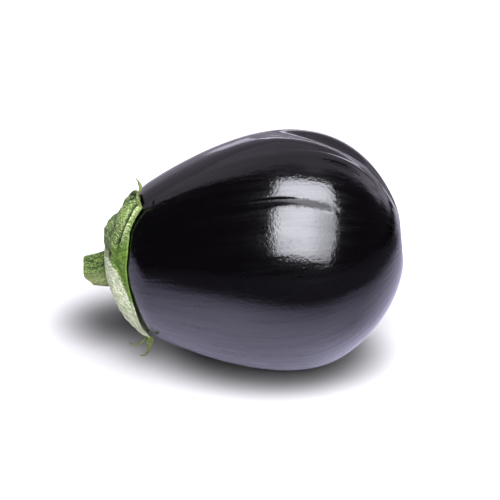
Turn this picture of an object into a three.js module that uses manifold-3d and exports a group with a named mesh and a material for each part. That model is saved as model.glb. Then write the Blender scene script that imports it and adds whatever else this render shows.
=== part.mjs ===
// Globe eggplant lying on its side: one glossy fruit, its green calyx and the stub of its cut stem.
// Millimetres, +Z up. +X runs from the stem to the blossom end, the camera-near side is -Y.
// The origin is the centre of the small flat spot that the fruit rests on, so the spot lies at z = 0.
//
// The plant's own frame has its long axis along x, with x = 0 at the widest station. A direction round
// that axis is an angle: 0 degrees points to -Y, 90 to the top, 180 to +Y and -90 to the underside.
import * as THREE from 'three';
import { mergeVertices } from 'three/addons/utils/BufferGeometryUtils.js';
import Module from 'manifold-3d';

const wasm = await Module();
wasm.setup();

// ---- driving dimensions -------------------------------------------------------------------------

const PITCH = 6.5; // degrees that the blossom end is raised above the stem end
const AXIS_CENTRE = [2.8, 0, 46.75]; // the widest station of the long axis, over the resting spot
const TISSUE_GAP = 0.35; // clearance between neighbouring pieces

const FRUIT = {
  radius: 48.1, // at the widest station
  stemPole: -69.6,
  blossomPole: 46.6,
  shoulder: { at: -52.6, radius: 32.2, slope: 0.52 }, // where the stem end turns into the flank
  handles: { stemPole: 11, shoulderIn: 12, shoulderOut: 20, beltIn: 15, beltOut: 32.5, blossomPole: 19.6 },
  crowding: { at: 80, share: 0.45 }, // columns stand closer together round this angle
  columns: 100,
  rows: [9, 14, 18], // along the stem shoulder, the flank and the blossom cap
};

// Furrows that grow from the flank and meet at the blossom end: angle at the belt, how far that angle
// drifts by the blossom end, depth and half-width, and the stations where each begins and is full.
const FURROWS = [
  { angle: 99, drift: -7, depth: 4.4, width: 7.5, from: -22, full: 18 },
  { angle: 45, drift: -22, depth: 0.8, width: 4, from: -32, full: -8 },
  { angle: 147, drift: 0, depth: 2.4, width: 10, from: -12, full: 24 },
  { angle: 196, drift: 0, depth: 1.5, width: 9, from: -5, full: 28 },
  { angle: -128, drift: 0, depth: 0.9, width: 9, from: 5, full: 32 },
];

// Broad hollows and swellings of the blossom end.
const SWELLS = [
  { angle: -50, rise: -2.7, width: 45, from: 10, full: 40 },
  { angle: 112, rise: 0.7, width: 35, from: 10, full: 38 },
  { angle: 172, rise: 1.2, width: 26, from: -10, full: 30 },
];

const BLOSSOM_SCAR = { depth: 1.5, radius: 7 };

const CALYX = {
  hole: 8.4, // arc from the stem pole to the edge round the stem
  reach: 26.8, // arc from the stem pole to the margin between two lobes
  collar: 4.2, // thickness round the stem
  edge: 0.8, // thickness at the margin
  columns: 132,
  outerRows: 13,
  innerRows: 5,
};

// Lobes of the calyx: direction, how far the broad part runs past the bays and its half-width, how far
// the point runs past that and its half-width, how high the back is puffed up and the rim lifted.
const LOBES = [
  { angle: 60, reach: 4.8, width: 44, point: 6.6, fine: 15, puff: 1.3, lift: 0.35 },
  { angle: 69, reach: 10, width: 30, point: 0, fine: 12, puff: 1.2, lift: 0.9 },
  { angle: 138, reach: 5, width: 30, point: 4, fine: 13, puff: 1.6, lift: 1 },
  { angle: 184, reach: 5.6, width: 36, point: 5.6, fine: 14, puff: 1.6, lift: 1.4 },
  { angle: -116, reach: 5, width: 36, point: 4.6, fine: 13, puff: 1.2, lift: 0.9 },
  { angle: -57, reach: 4, width: 58, point: 3.2, fine: 9, puff: 1.2, lift: 1.3 },
];

// Local rises (or dents) of the calyx: arc and its half-length, angle and its half-width, height.
const BUMPS = [
  { arc: 17, length: 4.2, angle: 80, width: 30, rise: 2 },
  { arc: 24, length: 2.6, angle: 92, width: 16, rise: -0.9 },
  { arc: 31, length: 4.5, angle: 86, width: 12, rise: 1.1 },
];

// Wiry ends of the lobes: arc and direction of the root, the guiding points of a curve from there, each
// as steps onwards, outwards and sideways, and the radius of root and end.
const TIPS = [
  { arc: 38.4, angle: 60.5, guides: [[0.6, 3.2, 2.8], [6.6, 8.6, 6.2], [3.4, 10.2, 7]], radii: [0.6, 0.5] },
  { arc: 34.2, angle: -57, guides: [[1, 1.8, -1.2], [3, 4.8, -4.2], [-0.4, 7.6, -4.6]], radii: [1.1, 0.5] },
  { arc: 33.6, angle: -55.5, guides: [[0.8, 2.4, -0.8], [-1.6, 5.6, -0.4], [-5.6, 6.4, 1]], radii: [0.7, 0.4] },
  { arc: 35, angle: 138, guides: [[1.6, 0.5, 0.3], [3.4, 0.9, -0.4], [5.2, 1.6, -1.6]], radii: [0.8, 0.4] },
  { arc: 36.8, angle: 184, guides: [[2, 1, 0], [5.4, 2.6, 0.8], [8, 5.6, 2.8]], radii: [0.9, 0.4] },
  { arc: 35.2, angle: -116, guides: [[1.6, 0.8, 0], [4, 1.8, 0.6], [6.2, 1.4, 2.2]], radii: [0.8, 0.4] },
];

const STEM = {
  baseRadius: 7.3,
  cutRadius: 5.3,
  cut: -82.6, // station of the cut end
  rib: 0.075, // height of the five ribs as a share of the radius
  ribs: 5,
  drop: 1.1, // how far its cut end lies below the long axis
  bite: { depth: 2.2, from: 2.2, full: 5 }, // the cut's lower edge is torn back, between these depths
  columns: 40,
  rows: 7,
};

// ---- small helpers ------------------------------------------------------------------------------

const radians = THREE.MathUtils.degToRad;
const smooth = THREE.MathUtils.smoothstep;

/** Difference of two angles in degrees, brought into -180..180. */
const between = (angle, other) => THREE.MathUtils.euclideanModulo(angle - other + 180, 360) - 180;

/** A bell: 1 at zero, falling to 1/e at one width; 2 is round, 3 has steeper sides. */
const hump = (distance, width, power = 2) => Math.exp(-(Math.abs(distance / width) ** power));

/** A point at a station on the long axis, a radius from it and an angle round it. */
function around(station, radius, angle) {
  const turn = radians(angle);
  return new THREE.Vector3(station, -radius * Math.cos(turn), radius * Math.sin(turn));
}

/** Skins a list of rings of equal length. They close on themselves, or end in a point at each end. */
function skinRings(rings, ends = null) {
  const count = rings[0].length;
  const points = rings.flat();
  const faces = [];
  const spans = ends ? rings.length - 1 : rings.length;
  for (let row = 0; row < spans; row += 1) {
    const here = row * count;
    const next = ((row + 1) % rings.length) * count;
    for (let column = 0; column < count; column += 1) {
      const beside = (column + 1) % count;
      faces.push(here + column, next + column, next + beside);
      faces.push(here + column, next + beside, here + beside);
    }
  }
  if (ends) {
    const last = (rings.length - 1) * count;
    points.push(ends[0], ends[1]);
    for (let column = 0; column < count; column += 1) {
      const beside = (column + 1) % count;
      faces.push(points.length - 2, column, beside);
      faces.push(points.length - 1, last + beside, last + column);
    }
  }
  const geometry = new THREE.BufferGeometry().setFromPoints(points);
  geometry.setIndex(faces);
  return geometry;
}

/** A closed geometry as a solid for joining and cutting. */
function solidOf(geometry) {
  const bare = geometry.clone();
  bare.deleteAttribute('normal');
  bare.deleteAttribute('uv');
  const merged = mergeVertices(bare, 1e-5);
  return new wasm.Manifold(new wasm.Mesh({
    numProp: 3,
    vertProperties: new Float32Array(merged.attributes.position.array),
    triVerts: new Uint32Array(merged.index.array),
  }));
}

/** The solid's surface as a geometry again. */
function geometryOf(solid) {
  const mesh = solid.getMesh();
  const geometry = new THREE.BufferGeometry();
  geometry.setAttribute('position', new THREE.BufferAttribute(new Float32Array(mesh.vertProperties), 3));
  geometry.setIndex(new THREE.BufferAttribute(new Uint32Array(mesh.triVerts), 1));
  geometry.computeVertexNormals();
  return geometry;
}

// ---- fruit --------------------------------------------------------------------------------------

/** Half of the fruit's outline as three arcs: stem shoulder, flank and blossom cap. */
function outlineArcs() {
  const { radius, stemPole, blossomPole, shoulder, handles } = FRUIT;
  const corner = new THREE.Vector2(shoulder.at, shoulder.radius);
  const along = new THREE.Vector2(1, shoulder.slope).normalize();
  const belt = new THREE.Vector2(0, radius);
  return [
    new THREE.CubicBezierCurve(
      new THREE.Vector2(stemPole, 0),
      new THREE.Vector2(stemPole, handles.stemPole),
      corner.clone().addScaledVector(along, -handles.shoulderIn),
      corner,
    ),
    new THREE.CubicBezierCurve(
      corner,
      corner.clone().addScaledVector(along, handles.shoulderOut),
      new THREE.Vector2(-handles.beltIn, radius),
      belt,
    ),
    new THREE.CubicBezierCurve(
      belt,
      new THREE.Vector2(handles.beltOut, radius),
      new THREE.Vector2(blossomPole, handles.blossomPole),
      new THREE.Vector2(blossomPole, 0),
    ),
  ];
}

const outline = outlineArcs();

/** How far the skin stands out from a body of revolution, for a full-size radius. */
function relief(station, angle) {
  let height = 0;
  const passed = THREE.MathUtils.clamp(station / FRUIT.radius, 0, 1);
  for (const furrow of FURROWS) {
    const share = smooth(station, furrow.from, furrow.full);
    const across = between(angle, furrow.angle + furrow.drift * passed);
    height -= furrow.depth * share * hump(across, furrow.width, 3);
  }
  for (const swell of SWELLS) {
    const share = smooth(station, swell.from, swell.full);
    height += swell.rise * share * hump(between(angle, swell.angle), swell.width);
  }
  return height;
}

/** A point of the fruit's skin for a point of its outline and an angle. */
function skinPoint(outlinePoint, angle) {
  const radius = outlinePoint.y * (1 + relief(outlinePoint.x, angle) / FRUIT.radius);
  const towardsBlossom = outlinePoint.x > 0 ? 1 : 0;
  const dent = towardsBlossom * BLOSSOM_SCAR.depth * hump(outlinePoint.y, BLOSSOM_SCAR.radius);
  return around(outlinePoint.x - dent, radius, angle);
}

/** Column angles, crowded where the furrows are. */
function fruitAngles() {
  const { at, share } = FRUIT.crowding;
  return Array.from({ length: FRUIT.columns }, (_, column) => {
    const even = (360 * column) / FRUIT.columns;
    return at + even - THREE.MathUtils.radToDeg(share * Math.sin(radians(even)));
  });
}

function fruitGeometry() {
  const angles = fruitAngles();
  const stations = outline.flatMap((arc, part) => {
    const rows = FRUIT.rows[part];
    return Array.from({ length: rows }, (_, row) => arc.getPoint((row + 1) / rows));
  });
  const blossomPole = stations.pop();
  const rings = stations.map((point) => angles.map((angle) => skinPoint(point, angle)));
  return skinRings(rings, [around(FRUIT.stemPole, 0, 0), skinPoint(blossomPole, 0)]);
}

// ---- calyx --------------------------------------------------------------------------------------

const stemEnd = new THREE.CurvePath();
stemEnd.add(outline[0]);
stemEnd.add(outline[1]);
const stemEndLength = stemEnd.getLength();

/** The point over the fruit at an arc length from the stem pole, a height off the skin and an angle. */
function overSkin(arc, height, angle) {
  const share = arc / stemEndLength;
  const point = stemEnd.getPoint(share);
  const step = 0.002;
  const ahead = stemEnd.getPoint(share + step);
  const tangent = ahead.sub(point).normalize();
  return around(point.x - tangent.y * height, point.y + tangent.x * height, angle);
}

/** 1 at the middle line of a lobe, falling to 0 at its half-width. */
const lobeShare = (lobe, angle) => Math.max(0, 1 - Math.abs(between(angle, lobe.angle)) / lobe.width);

/** How much a lobe feature counts at an angle, as the largest of the lobes. */
const lobeMost = (feature, angle, power) =>
  Math.max(...LOBES.map((lobe) => lobe[feature] * lobeShare(lobe, angle) ** power));

/** Where the margin runs: the furthest of the lobes, each a broad swell with a drawn-out point. */
function marginArc(angle) {
  const beyond = LOBES.map((lobe) => {
    const swell = 1 - (1 - lobeShare(lobe, angle)) ** 1.8;
    const point = lobeShare({ angle: lobe.angle, width: lobe.fine }, angle) ** 1.4;
    return lobe.reach * swell + lobe.point * point;
  });
  return CALYX.reach + Math.max(...beyond);
}

/** Height of its inner face: on the fruit, and lifted with the rim at the lobes. */
const calyxUnder = (arc, share, angle) => TISSUE_GAP + lobeMost('lift', angle, 1) * share ** 4;

/** Height of its outer face: a thickness that thins outwards, puffed lobes and the bumps. */
function calyxTop(arc, share, angle) {
  const thin = THREE.MathUtils.lerp(CALYX.edge, CALYX.collar, (1 - share) ** 1.6);
  const back = lobeMost('puff', angle, 0.6) * Math.sin(Math.PI * share ** 1.3) ** 0.8;
  let thickness = thin + back;
  for (const bump of BUMPS) {
    const along = hump(arc - bump.arc, bump.length);
    thickness += bump.rise * along * hump(between(angle, bump.angle), bump.width);
  }
  return calyxUnder(arc, share, angle) + Math.max(thickness, CALYX.edge);
}

/** A slender, curved, tapering end on the rim of a lobe. */
function tipGeometry({ arc, angle, guides, radii }) {
  const height = TISSUE_GAP + lobeMost('lift', angle, 1) + CALYX.edge / 2;
  const root = overSkin(arc, height, angle);
  const onwards = overSkin(arc + 0.1, height, angle).sub(root).normalize();
  const outwards = overSkin(arc, height + 0.1, angle).sub(root).normalize();
  const sideways = overSkin(arc, height, angle + 0.1).sub(root).normalize();
  const place = ([ahead, rise, turned]) => root.clone()
    .addScaledVector(onwards, ahead)
    .addScaledVector(outwards, rise)
    .addScaledVector(sideways, turned);
  const buried = 2.5; // length of the end that lies inside the lobe
  const start = place([-buried, 0, 0]);
  const path = new THREE.CubicBezierCurve3(start, ...guides.map(place));
  const sides = 6;
  const steps = 9;
  const rings = Array.from({ length: steps }, (_, step) => {
    const share = step / steps;
    const middle = path.getPoint(share);
    const heading = path.getTangent(share);
    const across = new THREE.Vector3().crossVectors(heading, outwards).normalize();
    const up = new THREE.Vector3().crossVectors(across, heading);
    const radius = THREE.MathUtils.lerp(...radii, share);
    return Array.from({ length: sides }, (_, side) => {
      const turn = (2 * Math.PI * side) / sides;
      return middle.clone()
        .addScaledVector(across, radius * Math.cos(turn))
        .addScaledVector(up, radius * Math.sin(turn));
    });
  });
  return skinRings(rings, [start, path.getPoint(1)]);
}

function calyxGeometry() {
  const angles = Array.from({ length: CALYX.columns }, (_, column) => (360 * column) / CALYX.columns);
  const ringAt = (share, face) => angles.map((angle) => {
    const arc = THREE.MathUtils.lerp(CALYX.hole, marginArc(angle), share);
    return overSkin(arc, face(arc, share, angle), angle);
  });
  const outer = Array.from({ length: CALYX.outerRows }, (_, row) =>
    ringAt(row / (CALYX.outerRows - 1), calyxTop));
  const inner = Array.from({ length: CALYX.innerRows }, (_, row) =>
    ringAt(1 - row / (CALYX.innerRows - 1), calyxUnder));
  let solid = solidOf(skinRings([...outer, ...inner]));
  for (const tip of TIPS) solid = solid.add(solidOf(tipGeometry(tip)));
  return geometryOf(solid);
}

// ---- stem ---------------------------------------------------------------------------------------

function stemGeometry() {
  const { depth, from, full } = STEM.bite;
  const base = FRUIT.stemPole - TISSUE_GAP;
  const rings = Array.from({ length: STEM.rows }, (_, row) => {
    const share = row / (STEM.rows - 1);
    const size = THREE.MathUtils.lerp(STEM.baseRadius, STEM.cutRadius, share ** 0.7);
    const station = THREE.MathUtils.lerp(base, STEM.cut, share);
    return Array.from({ length: STEM.columns }, (_, column) => {
      const angle = (-360 * column) / STEM.columns;
      const radius = size * (1 + STEM.rib * Math.cos(radians(STEM.ribs * angle)));
      const point = around(station, radius, angle);
      point.x += share ** 4 * depth * smooth(-point.z, from, full);
      point.z -= STEM.drop * share ** 0.6;
      return point;
    });
  });
  return skinRings(rings, [new THREE.Vector3(base, 0, 0), new THREE.Vector3(STEM.cut, 0, -STEM.drop)]);
}

// ---- assembly -----------------------------------------------------------------------------------

/** From the plant's own frame to where it lies. */
const laid = new THREE.Matrix4()
  .makeTranslation(...AXIS_CENTRE)
  .multiply(new THREE.Matrix4().makeRotationY(-radians(PITCH)));

/** The fruit as it lies, flat where it rests: all below z = 0 is cut off. */
function restingFruit() {
  const below = new THREE.BoxGeometry(200, 200, 20).translate(0, 0, -10);
  return geometryOf(solidOf(fruitGeometry().applyMatrix4(laid)).subtract(solidOf(below)));
}

function piece(name, geometry, finish) {
  const mesh = new THREE.Mesh(geometry, new THREE.MeshStandardMaterial({ ...finish, metalness: 0 }));
  mesh.name = name;
  return mesh;
}

const group = new THREE.Group();
group.add(piece('fruit', restingFruit(), { color: 0x16101c, roughness: 0.16 }));
group.add(piece('calyx', calyxGeometry().applyMatrix4(laid), { color: 0x86a04c, roughness: 0.75 }));
group.add(piece('stem', stemGeometry().applyMatrix4(laid), { color: 0x62843a, roughness: 0.8 }));

export default group;
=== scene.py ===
"""A globe eggplant lying on its side: glossy dark fruit, downy green calyx and ribbed cut stem.

Metres, +Z up. +X runs from the stem to the blossom end and -Y is the side that the camera looks at.
The origin is the centre of the small flat spot that the fruit rests on.

The plant's own frame has its long axis along x, with x = 0 at the widest station. A direction round
that axis is an angle: 0 degrees points to -Y, 90 to the top, 180 to +Y and -90 to the underside.
Shapes are worked out in millimetres in that frame and are pitched, placed and scaled at the end.
"""
import math

import bpy
import numpy as np
from mathutils import Matrix, Vector


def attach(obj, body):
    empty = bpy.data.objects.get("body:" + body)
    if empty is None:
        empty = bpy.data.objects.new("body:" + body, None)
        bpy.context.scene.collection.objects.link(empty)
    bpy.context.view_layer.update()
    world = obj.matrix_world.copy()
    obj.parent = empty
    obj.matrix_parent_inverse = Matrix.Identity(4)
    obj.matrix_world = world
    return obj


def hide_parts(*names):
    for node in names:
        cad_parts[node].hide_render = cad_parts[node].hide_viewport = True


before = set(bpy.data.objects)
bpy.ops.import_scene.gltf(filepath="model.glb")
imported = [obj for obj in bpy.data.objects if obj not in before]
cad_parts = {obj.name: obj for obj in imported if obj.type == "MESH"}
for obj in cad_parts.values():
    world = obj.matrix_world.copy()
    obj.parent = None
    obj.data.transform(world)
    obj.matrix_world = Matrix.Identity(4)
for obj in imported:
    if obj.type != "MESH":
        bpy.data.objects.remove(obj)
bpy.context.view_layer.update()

MM = 0.001

# ---- driving dimensions, in millimetres and degrees, as on the solids ------------------------------

PITCH = 6.5  # the blossom end is raised above the stem end
AXIS_CENTRE = np.array([2.8, 0.0, 46.75])  # the widest station of the long axis

RADIUS = 48.1
STEM_POLE = -69.6
BLOSSOM_POLE = 46.6
SHOULDER = {"at": -52.6, "radius": 32.2, "slope": 0.52}
HANDLES = {
    "stem_pole": 11.0,
    "shoulder_in": 12.0,
    "shoulder_out": 20.0,
    "belt_in": 15.0,
    "belt_out": 32.5,
    "blossom_pole": 19.6,
}

# Furrows (negative) and pleats (positive) that run along the fruit and meet at the blossom end:
# angle at the belt, drift of the angle over the blossom half, power of that drift, height,
# half-width in degrees, and the stations where each begins and is full.
FURROWS = [
    (98.1, -9.2, 1.0, -4.12, 8.3, -12.9, 25.4),
    (147.0, 0.0, 1.0, -2.4, 10.0, -12.0, 24.0),
    (196.0, 0.0, 1.0, -1.5, 9.0, -5.0, 28.0),
    (-128.0, 0.0, 1.0, -0.9, 9.0, 5.0, 32.0),
]
PLEATS = [
    (82.8, -12.2, 0.85, 0.32, 5.7, -34.4, 3.4),
    (68.0, 6.1, 1.0, 0.04, 1.5, -18.0, 12.0),
]
# Short creases: angle, drift and power as above, height, half-width above and below its middle,
# middle station, half-length.
CREASES = [
    (44.6, -22.0, 2.0, -0.25, 2.5, 3.0, -30.0, 14.0),
    (44.8, -22.0, 2.0, -1.00, 1.0, 3.0, -1.0, 15.0),
    (44.6, -24.0, 2.0, -0.15, 1.4, 2.4, 26.0, 11.0),
    (60.5, 0.0, 1.0, -0.10, 5.0, 5.0, 4.0, 16.0),
    (71.3, 4.5, 1.0, 0.54, 1.62, 5.4, 19.2, 17.7),
]
# The corky scar along the second crease: how far below it and how wide in degrees, and the stations
# between which it comes in and goes out.
SCAR = {"crease": 1, "below": 0.9, "width": 2.2, "comes": (-16.0, -4.0), "goes": (14.0, 34.0)}
# Broad hollows and swellings of the blossom end: angle, rise, half-width, begin, full.
SWELLS = [
    (-50.0, -2.7, 45.0, 10.0, 40.0),
    (112.0, 0.7, 35.0, 10.0, 38.0),
    (172.0, 1.2, 26.0, -10.0, 30.0),
]
BLOSSOM_SCAR = {"depth": 1.5, "radius": 7.0}

TISSUE_GAP = 0.35  # between the skin and what grows on it
CALYX = {
    "hole": 8.4,  # arc from the stem pole to the edge round the stem
    "reach": 26.8,  # arc from the stem pole to the margin between two lobes
    "gap": 0.1,  # between the skin and its inner face
    "collar": 4.2,  # thickness round the stem
    "edge": 0.8,  # thickness at the margin
}
# Lobes: direction, how far the broad part reaches past the bays and its half-width, how far the
# point reaches past that and its half-width, how much the back is puffed, how far the rim is lifted.
LOBES = [
    (60.0, 4.8, 44.0, 6.6, 15.0, 1.3, 0.35),
    (69.0, 10.0, 30.0, 0.0, 12.0, 1.2, 0.9),
    (138.0, 5.0, 30.0, 4.0, 13.0, 1.6, 1.0),
    (184.0, 5.6, 36.0, 5.6, 14.0, 1.6, 1.4),
    (-116.0, 5.0, 36.0, 4.6, 13.0, 1.2, 0.9),
    (-57.0, 4.0, 58.0, 3.2, 9.0, 1.2, 1.3),
]
# Local rises (or dents) of the calyx: arc and its half-length, angle and its half-width, height.
BUMPS = [
    (17.0, 4.2, 80.0, 30.0, 2.0),
    (24.0, 2.6, 92.0, 16.0, -0.9),
    (31.0, 4.5, 86.0, 12.0, 0.3),
]
# Creases of the upper lobe, each a straight line of angle against arc: the angle at an arc, that arc,
# and degrees per millimetre. Behind the second one lies the hood, this many degrees wide.
FOLDS = {"main": (39.0, 23.0, 1.9), "behind": (72.5, 36.9, -0.84), "hood": 26.0}
# Where the calyx's marks lie, in degrees and millimetres of arc. A pair says where a mark comes in or
# goes out, or its middle and half-width.
MARKS = {
    "strap": (38.0, 50.0),  # angles
    "main_width": 3.2,
    "main_arcs": (20.5, 24.0),
    "behind_width": 2.6,
    "behind_arcs": (17.0, 25.0),
    # The hollow and the corner below darken the leaf as painted shade, and are dented in the shape too.
    "hollow": (1.7, 0.9),  # inside the margin, at the hood
    "hollow_comes": (70.0, 74.0),
    "hollow_goes": (86.0, 94.0),
    "corner_arc": (15.5, 1.8),
    "corner_angle": (38.0, 8.0),
    "border": (31.0, 13.5, -3.0),  # of the pale lower lobe: the angle at an arc, that arc, degrees per mm
    "lower_from": (-95.0, -80.0),
    "collar_arcs": (10.0, 15.0),
    "collar_angle": (30.0, 50.0),
    "bay_goes": (32.0, 44.0),
    "bay_arcs": (15.0, 20.0),
}
# Thin ends of the lobes: arc and direction of the root, half-width of root, waist and blade, then
# guiding points (onwards, outwards, sideways) of one or two cubic curves.
TIPS = [
    (38.4, 60.5, (1.0, 0.40, 0.75), (0.2, 2.8, 1.2), (0.6, 5.0, 2.6), (0.9, 3.6, 4.5),
     (1.2, 2.2, 6.4), (1.5, 3.0, 9.4), (0.2, 7.0, 11.0)),
    (34.2, -57.0, (1.9, 0.8, 0.8), (1.0, 1.8, -0.6), (3.2, 6.8, -2.6), (-0.6, 8.2, -2.5)),
    (33.6, -55.5, (0.9, 0.4, 0.35), (-0.3, 2.0, 0.0), (-2.6, 8.0, 0.5), (-5.8, 6.3, 0.8)),
    (35.0, 138.0, (1.0, 0.6, 0.6), (1.6, 0.5, 0.3), (3.4, 0.9, -0.4), (5.2, 1.6, -1.6)),
    (36.8, 184.0, (1.1, 0.6, 0.7), (2.0, 1.0, 0.0), (5.4, 2.6, 0.8), (8.0, 5.6, 2.8)),
    (35.2, -116.0, (1.0, 0.5, 0.5), (1.6, 0.8, 0.0), (4.0, 1.8, 0.6), (6.2, 1.4, 2.2)),
]
TIP_THICKNESS = {"least": 0.12, "most": 0.36}  # half-widths and half-thicknesses of the thin ends
STEM = {
    "base_radius": 7.3,
    "cut_radius": 5.3,
    "cut": -82.6,  # station of the cut end
    "rib": 0.075,  # height of the five ribs as a share of the radius
    "ribs": 5,
    "drop": 1.1,  # how far its middle line lies below the long axis
    "slant": 1.0,  # degrees that the cut is out of square
    "bite": 2.2,  # how far the cut's lower edge is torn back
    "flare": 2.0,  # how much further its underside stands out near the calyx, and how much of it is
    "flare_loss": 0.8,  # gone at the cut
}

# How finely the surfaces are divided: rows along them and columns round them.
GRID = {
    "fruit_rows": (34, 60, 100),  # on the stem shoulder, the flank and the blossom cap
    "fruit_columns": 500,
    "crowded_at": 70.0,  # the columns are closest together at this angle
    "crowding": 0.5,
    "calyx_rows": (84, 7, 16),  # on the outer face, round the rim and on the inner face
    "calyx_columns": 480,
    "tip_rows": 40,  # for each curve
    "stem_rows": 60,
    "stem_columns": 240,
    "light": 17,
}

# ---- camera -------------------------------------------------------------------------------------

CAMERA = {
    "elevation": 22.0,  # degrees above the level
    "turn": 4.0,  # degrees round from -Y towards +X
    "lens": 100.0,  # millimetres on a 36 mm sensor
    "distance": 555.6,  # from the aim point
    "aim_left": 15.1,  # the aim point lies this far left of the long axis's widest station
    "aim_down": 0.1,
}


def camera_axes():
    """Right, up and forward of a camera at the given turn and elevation, as rows."""
    turn = math.radians(CAMERA["turn"])
    tilt = math.radians(CAMERA["elevation"])
    right = np.array([math.cos(turn), math.sin(turn), 0.0])
    forward = np.array([-math.sin(turn) * math.cos(tilt), math.cos(turn) * math.cos(tilt), -math.sin(tilt)])
    up = np.cross(right, forward)
    return right, up, forward


def make_camera():
    """A camera that looks from its distance at the aim point."""
    right, up, forward = camera_axes()
    aim = AXIS_CENTRE - right * CAMERA["aim_left"] - up * CAMERA["aim_down"]
    place = (aim - forward * CAMERA["distance"]) * MM
    data = bpy.data.cameras.new("camera")
    data.lens = CAMERA["lens"]
    data.sensor_width = 36.0
    data.clip_start = 0.01
    camera = bpy.data.objects.new("camera", data)
    turning = Matrix((right, up, -forward)).transposed()
    camera.matrix_world = Matrix.Translation(Vector(place)) @ turning.to_4x4()
    bpy.context.scene.collection.objects.link(camera)
    bpy.context.scene.camera = camera


# ---- small helpers ------------------------------------------------------------------------------


def smooth(value, low, high):
    """Eases from 0 at low to 1 at high: 3t^2 - 2t^3 of the clipped share t."""
    share = np.clip((value - low) / (high - low), 0.0, 1.0)
    return share * share * (3.0 - 2.0 * share)


def hump(distance, width, power=2.0):
    """A bell: e to the minus (distance over width) to a power; 2 is round, 3 has steeper sides."""
    return np.exp(-(np.abs(distance / width) ** power))


def between(angle, other):
    """Difference of two angles in degrees, brought into -180..180."""
    return (angle - other + 180.0) % 360.0 - 180.0


def around(station, radius, angle):
    """Points at a station on the long axis, a radius from it and an angle round it."""
    turn = np.radians(angle)
    parts = np.broadcast_arrays(station, -radius * np.cos(turn), radius * np.sin(turn))
    return np.stack(parts, axis=-1)


def laid(points):
    """Turns points of the plant's frame by the pitch, moves them to their place and scales to metres."""
    pitch = math.radians(PITCH)
    turning = np.array([
        [math.cos(pitch), 0.0, -math.sin(pitch)],
        [0.0, 1.0, 0.0],
        [math.sin(pitch), 0.0, math.cos(pitch)],
    ])
    return (points @ turning.T + AXIS_CENTRE) * MM


def grid_faces(rows, columns, first=0):
    """Quads between neighbouring rings of points, closed round each ring."""
    row, column = np.meshgrid(np.arange(rows - 1), np.arange(columns), indexing="ij")
    beside = (column + 1) % columns
    here = first + row * columns
    after = here + columns
    return np.stack([here + column, after + column, after + beside, here + beside], axis=-1).reshape(-1, 4)


def capped_faces(rows, columns):
    """Quads between rings of points, and a fan at each end to the two points that follow the rings."""
    column = np.arange(columns)
    beside = (column + 1) % columns
    last = (rows - 1) * columns
    first_fan = np.stack([np.full(columns, rows * columns), column, beside], axis=-1)
    last_fan = np.stack([np.full(columns, rows * columns + 1), last + beside, last + column], axis=-1)
    return grid_faces(rows, columns), np.vstack([first_fan, last_fan])


def make_mesh(name, points, quads, triangles=()):
    """A smooth-shaded mesh object at the origin from arrays of points in metres and of faces."""
    mesh = bpy.data.meshes.new(name)
    triangles = np.asarray(triangles, dtype=int).reshape(-1, 3)
    corners = np.concatenate([quads.ravel(), triangles.ravel()])
    sizes = np.concatenate([np.full(len(quads), 4), np.full(len(triangles), 3)])
    mesh.vertices.add(len(points))
    mesh.vertices.foreach_set("co", np.asarray(points, dtype=np.float32).ravel())
    mesh.loops.add(len(corners))
    mesh.loops.foreach_set("vertex_index", corners.astype(np.int32))
    mesh.polygons.add(len(sizes))
    mesh.polygons.foreach_set("loop_start", (np.cumsum(sizes) - sizes).astype(np.int32))
    mesh.update(calc_edges=True)
    mesh.validate()
    mesh.shade_smooth()
    piece = bpy.data.objects.new(name, mesh)
    bpy.context.scene.collection.objects.link(piece)
    return piece


def write_attribute(piece, name, vectors):
    """Keeps a vector for each point of a mesh under a name that materials can read."""
    attribute = piece.data.attributes.new(name, "FLOAT_VECTOR", "POINT")
    attribute.data.foreach_set("vector", np.asarray(vectors, dtype=np.float32).ravel())


# ---- fruit --------------------------------------------------------------------------------------


def bezier(points, count):
    """Points at even parameters of a cubic Bezier arc, without its first point."""
    share = (np.arange(count) + 1.0)[:, None] / count
    start, first, second, end = (np.asarray(point, dtype=float) for point in points)
    rest = 1.0 - share
    return rest**3 * start + 3.0 * rest**2 * share * first + 3.0 * rest * share**2 * second + share**3 * end


def outline(rows):
    """Half of the fruit's outline, station and radius, as three arcs: stem shoulder, flank, blossom cap."""
    corner = np.array([SHOULDER["at"], SHOULDER["radius"]])
    along = np.array([1.0, SHOULDER["slope"]])
    along /= np.linalg.norm(along)
    belt = np.array([0.0, RADIUS])
    stem_pole = np.array([STEM_POLE, 0.0])
    blossom_pole = np.array([BLOSSOM_POLE, 0.0])
    from_stem = stem_pole + [0.0, HANDLES["stem_pole"]]
    to_blossom = blossom_pole + [0.0, HANDLES["blossom_pole"]]
    arcs = [
        (stem_pole, from_stem, corner - along * HANDLES["shoulder_in"], corner),
        (corner, corner + along * HANDLES["shoulder_out"], belt - [HANDLES["belt_in"], 0.0], belt),
        (belt, belt + [HANDLES["belt_out"], 0.0], to_blossom, blossom_pole),
    ]
    return [bezier(arc, count) for arc, count in zip(arcs, rows)]


def relief(station, angle):
    """How far the skin stands out from a body of revolution, for a full-size radius.

    Each furrow or pleat is a bell across an angle that drifts with the share of the blossom half
    passed, raised to a power; it fades in between its two stations.
    """
    height = np.zeros(np.broadcast(station, angle).shape)
    passed = np.clip(station / RADIUS, 0.0, 1.0)
    for at, drift, power, rise, width, begin, full in FURROWS:
        across = between(angle, at + drift * passed**power)
        height += rise * smooth(station, begin, full) * hump(across, width, 3.0)
    for at, drift, power, rise, width, begin, full in PLEATS:
        across = between(angle, at + drift * passed**power)
        height += rise * smooth(station, begin, full) * hump(across, width)
    for at, drift, power, rise, above, below, middle, reach in CREASES:
        across = between(angle, at + drift * passed**power)
        height += rise * hump(station - middle, reach) * hump(across, np.where(across > 0.0, above, below))
    for at, rise, width, begin, full in SWELLS:
        height += rise * smooth(station, begin, full) * hump(between(angle, at), width)
    return height


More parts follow.
